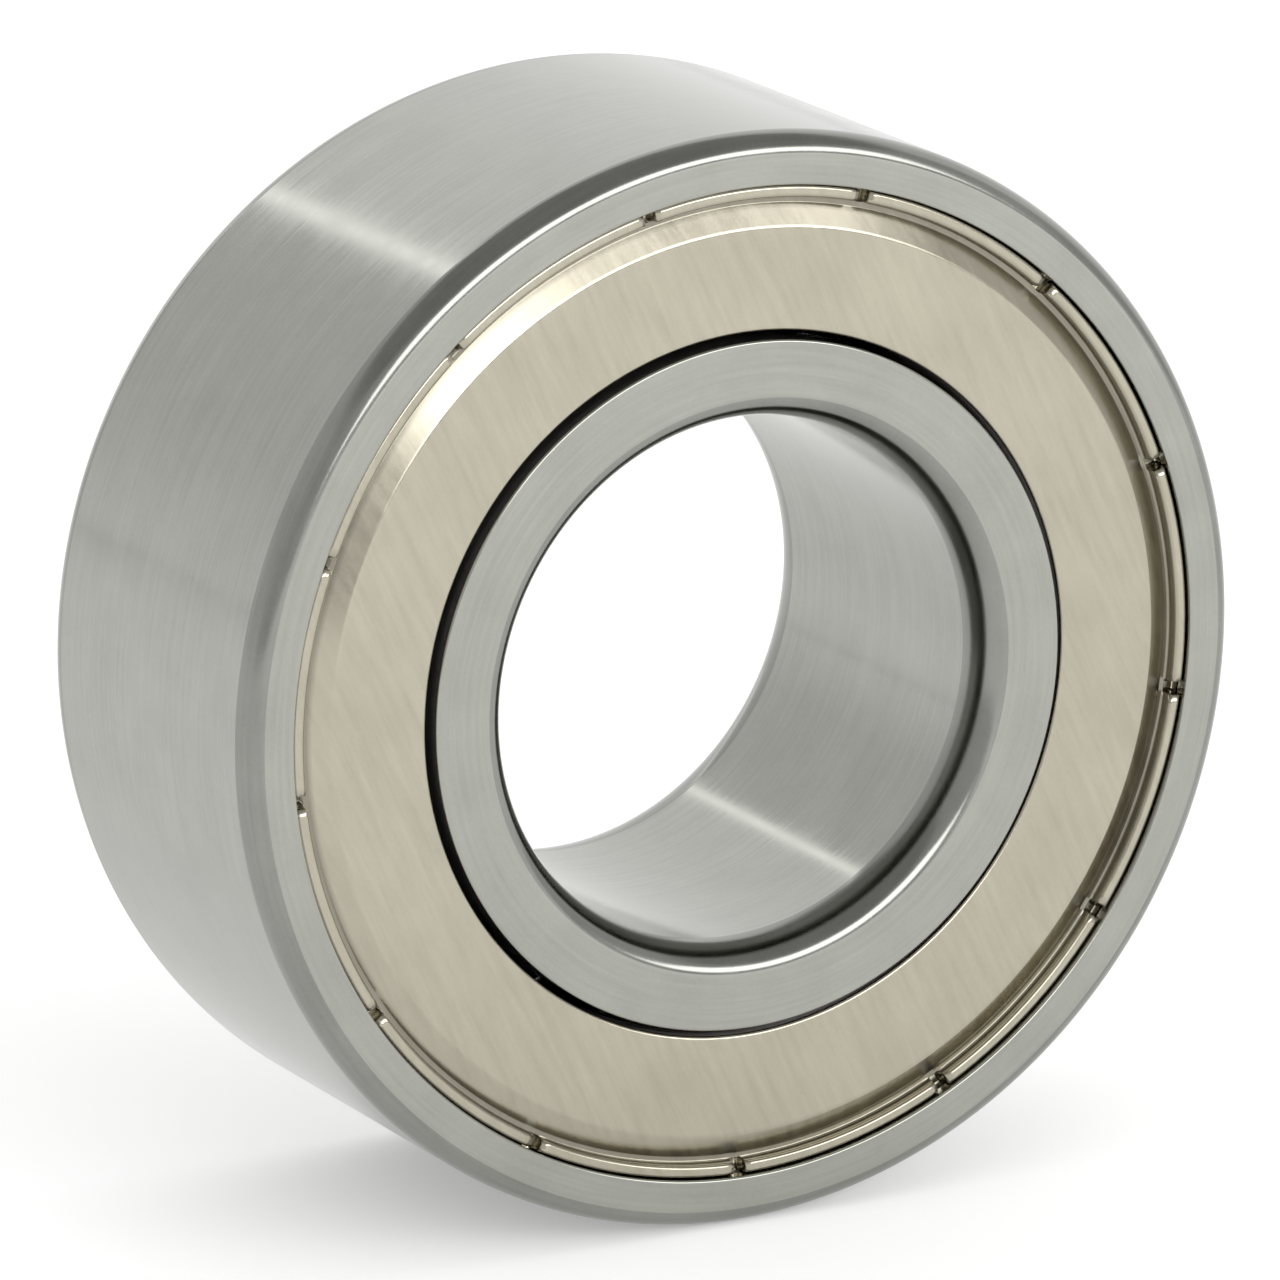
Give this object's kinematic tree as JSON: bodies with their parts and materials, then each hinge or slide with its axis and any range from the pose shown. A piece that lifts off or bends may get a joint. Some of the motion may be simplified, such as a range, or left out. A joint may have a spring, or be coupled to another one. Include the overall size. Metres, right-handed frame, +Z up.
{
  "type": "ball bearing",
  "caption": "Wide shielded ball bearing: outer and inner steel rings turn on caged balls behind pressed metal shields, carrying a shaft in a housing bore.",
  "frame": {"origin": "centre of the bearing: on its axis, midway between its two side faces", "axes": "+Y along the bearing's axis, away from the front shield; +Z up as it stands on its rim; +X to the right seen from the front"},
  "size_m": [0.052, 0.0206, 0.052],
  "materials": {
    "ring_steel": "fine ground, satin",
    "shield_sheet": "pressed sheet, satin, warm grey",
    "ball_steel": "polished",
    "cage_polyamide": "moulded, glass filled"
  },
  "bodies": {
    "root": {"outer_ring": "ring_steel", "front_shield": "shield_sheet", "back_shield": "shield_sheet"},
    "inner_ring": {"inner_ring": "ring_steel"},
    "front_cage": {"front_cage": "cage_polyamide"},
    "front_ball_01": {"front_ball_01": "ball_steel"},
    "front_ball_02": {"front_ball_02": "ball_steel"},
    "front_ball_03": {"front_ball_03": "ball_steel"},
    "front_ball_04": {"front_ball_04": "ball_steel"},
    "front_ball_05": {"front_ball_05": "ball_steel"},
    "front_ball_06": {"front_ball_06": "ball_steel"},
    "front_ball_07": {"front_ball_07": "ball_steel"},
    "front_ball_08": {"front_ball_08": "ball_steel"},
    "front_ball_09": {"front_ball_09": "ball_steel"},
    "front_ball_10": {"front_ball_10": "ball_steel"},
    "back_cage": {"back_cage": "cage_polyamide"},
    "back_ball_01": {"back_ball_01": "ball_steel"},
    "back_ball_02": {"back_ball_02": "ball_steel"},
    "back_ball_03": {"back_ball_03": "ball_steel"},
    "back_ball_04": {"back_ball_04": "ball_steel"},
    "back_ball_05": {"back_ball_05": "ball_steel"},
    "back_ball_06": {"back_ball_06": "ball_steel"},
    "back_ball_07": {"back_ball_07": "ball_steel"},
    "back_ball_08": {"back_ball_08": "ball_steel"},
    "back_ball_09": {"back_ball_09": "ball_steel"},
    "back_ball_10": {"back_ball_10": "ball_steel"}
  },
  "joints": [
    {"name": "inner_ring_spin", "type": "hinge", "parent": "root", "child": "inner_ring", "pos_m": [0, 0, 0], "axis": [0, 1, 0], "continuous": true},
    {"name": "front_cage_spin", "type": "hinge", "parent": "root", "child": "front_cage", "pos_m": [0, 0, 0], "axis": [0, 1, 0], "continuous": true},
    {"name": "front_ball_01_roll", "type": "hinge", "parent": "front_cage", "child": "front_ball_01", "pos_m": [-0.01925, -0.0044, 0], "axis": [0.5, 0.866, 0], "continuous": true},
    {"name": "front_ball_02_roll", "type": "hinge", "parent": "front_cage", "child": "front_ball_02", "pos_m": [-0.01557, -0.0044, 0.01132], "axis": [0.4045, 0.866, -0.2939], "continuous": true},
    {"name": "front_ball_03_roll", "type": "hinge", "parent": "front_cage", "child": "front_ball_03", "pos_m": [-0.00595, -0.0044, 0.01831], "axis": [0.1545, 0.866, -0.4755], "continuous": true},
    {"name": "front_ball_04_roll", "type": "hinge", "parent": "front_cage", "child": "front_ball_04", "pos_m": [0.00595, -0.0044, 0.01831], "axis": [-0.1545, 0.866, -0.4755], "continuous": true},
    {"name": "front_ball_05_roll", "type": "hinge", "parent": "front_cage", "child": "front_ball_05", "pos_m": [0.01557, -0.0044, 0.01132], "axis": [-0.4045, 0.866, -0.2939], "continuous": true},
    {"name": "front_ball_06_roll", "type": "hinge", "parent": "front_cage", "child": "front_ball_06", "pos_m": [0.01925, -0.0044, 0], "axis": [-0.5, 0.866, 0], "continuous": true},
    {"name": "front_ball_07_roll", "type": "hinge", "parent": "front_cage", "child": "front_ball_07", "pos_m": [0.01557, -0.0044, -0.01132], "axis": [-0.4045, 0.866, 0.2939], "continuous": true},
    {"name": "front_ball_08_roll", "type": "hinge", "parent": "front_cage", "child": "front_ball_08", "pos_m": [0.00595, -0.0044, -0.01831], "axis": [-0.1545, 0.866, 0.4755], "continuous": true},
    {"name": "front_ball_09_roll", "type": "hinge", "parent": "front_cage", "child": "front_ball_09", "pos_m": [-0.00595, -0.0044, -0.01831], "axis": [0.1545, 0.866, 0.4755], "continuous": true},
    {"name": "front_ball_10_roll", "type": "hinge", "parent": "front_cage", "child": "front_ball_10", "pos_m": [-0.01557, -0.0044, -0.01132], "axis": [0.4045, 0.866, 0.2939], "continuous": true},
    {"name": "back_cage_spin", "type": "hinge", "parent": "root", "child": "back_cage", "pos_m": [0, 0, 0], "axis": [0, 1, 0], "continuous": true},
    {"name": "back_ball_01_roll", "type": "hinge", "parent": "back_cage", "child": "back_ball_01", "pos_m": [0.01831, 0.0044, 0.00595], "axis": [0.4755, 0.866, 0.1545], "continuous": true},
    {"name": "back_ball_02_roll", "type": "hinge", "parent": "back_cage", "child": "back_ball_02", "pos_m": [0.01132, 0.0044, 0.01557], "axis": [0.2939, 0.866, 0.4045], "continuous": true},
    {"name": "back_ball_03_roll", "type": "hinge", "parent": "back_cage", "child": "back_ball_03", "pos_m": [0, 0.0044, 0.01925], "axis": [0, 0.866, 0.5], "continuous": true},
    {"name": "back_ball_04_roll", "type": "hinge", "parent": "back_cage", "child": "back_ball_04", "pos_m": [-0.01132, 0.0044, 0.01557], "axis": [-0.2939, 0.866, 0.4045], "continuous": true},
    {"name": "back_ball_05_roll", "type": "hinge", "parent": "back_cage", "child": "back_ball_05", "pos_m": [-0.01831, 0.0044, 0.00595], "axis": [-0.4755, 0.866, 0.1545], "continuous": true},
    {"name": "back_ball_06_roll", "type": "hinge", "parent": "back_cage", "child": "back_ball_06", "pos_m": [-0.01831, 0.0044, -0.00595], "axis": [-0.4755, 0.866, -0.1545], "continuous": true},
    {"name": "back_ball_07_roll", "type": "hinge", "parent": "back_cage", "child": "back_ball_07", "pos_m": [-0.01132, 0.0044, -0.01557], "axis": [-0.2939, 0.866, -0.4045], "continuous": true},
    {"name": "back_ball_08_roll", "type": "hinge", "parent": "back_cage", "child": "back_ball_08", "pos_m": [0, 0.0044, -0.01925], "axis": [0, 0.866, -0.5], "continuous": true},
    {"name": "back_ball_09_roll", "type": "hinge", "parent": "back_cage", "child": "back_ball_09", "pos_m": [0.01132, 0.0044, -0.01557], "axis": [0.2939, 0.866, -0.4045], "continuous": true},
    {"name": "back_ball_10_roll", "type": "hinge", "parent": "back_cage", "child": "back_ball_10", "pos_m": [0.01831, 0.0044, -0.00595], "axis": [0.4755, 0.866, -0.1545], "continuous": true}
  ],
  "couplings": [
    {"joint": "front_cage_spin", "follows": "inner_ring_spin", "ratio": 0.41072},
    {"joint": "front_ball_01_roll", "follows": "inner_ring_spin", "ratio": -2.3477},
    {"joint": "front_ball_02_roll", "follows": "inner_ring_spin", "ratio": -2.3477},
    {"joint": "front_ball_03_roll", "follows": "inner_ring_spin", "ratio": -2.3477},
    {"joint": "front_ball_04_roll", "follows": "inner_ring_spin", "ratio": -2.3477},
    {"joint": "front_ball_05_roll", "follows": "inner_ring_spin", "ratio": -2.3477},
    {"joint": "front_ball_06_roll", "follows": "inner_ring_spin", "ratio": -2.3477},
    {"joint": "front_ball_07_roll", "follows": "inner_ring_spin", "ratio": -2.3477},
    {"joint": "front_ball_08_roll", "follows": "inner_ring_spin", "ratio": -2.3477},
    {"joint": "front_ball_09_roll", "follows": "inner_ring_spin", "ratio": -2.3477},
    {"joint": "front_ball_10_roll", "follows": "inner_ring_spin", "ratio": -2.3477},
    {"joint": "back_cage_spin", "follows": "inner_ring_spin", "ratio": 0.41072},
    {"joint": "back_ball_01_roll", "follows": "inner_ring_spin", "ratio": -2.3477},
    {"joint": "back_ball_02_roll", "follows": "inner_ring_spin", "ratio": -2.3477},
    {"joint": "back_ball_03_roll", "follows": "inner_ring_spin", "ratio": -2.3477},
    {"joint": "back_ball_04_roll", "follows": "inner_ring_spin", "ratio": -2.3477},
    {"joint": "back_ball_05_roll", "follows": "inner_ring_spin", "ratio": -2.3477},
    {"joint": "back_ball_06_roll", "follows": "inner_ring_spin", "ratio": -2.3477},
    {"joint": "back_ball_07_roll", "follows": "inner_ring_spin", "ratio": -2.3477},
    {"joint": "back_ball_08_roll", "follows": "inner_ring_spin", "ratio": -2.3477},
    {"joint": "back_ball_09_roll", "follows": "inner_ring_spin", "ratio": -2.3477},
    {"joint": "back_ball_10_roll", "follows": "inner_ring_spin", "ratio": -2.3477}
  ]
}
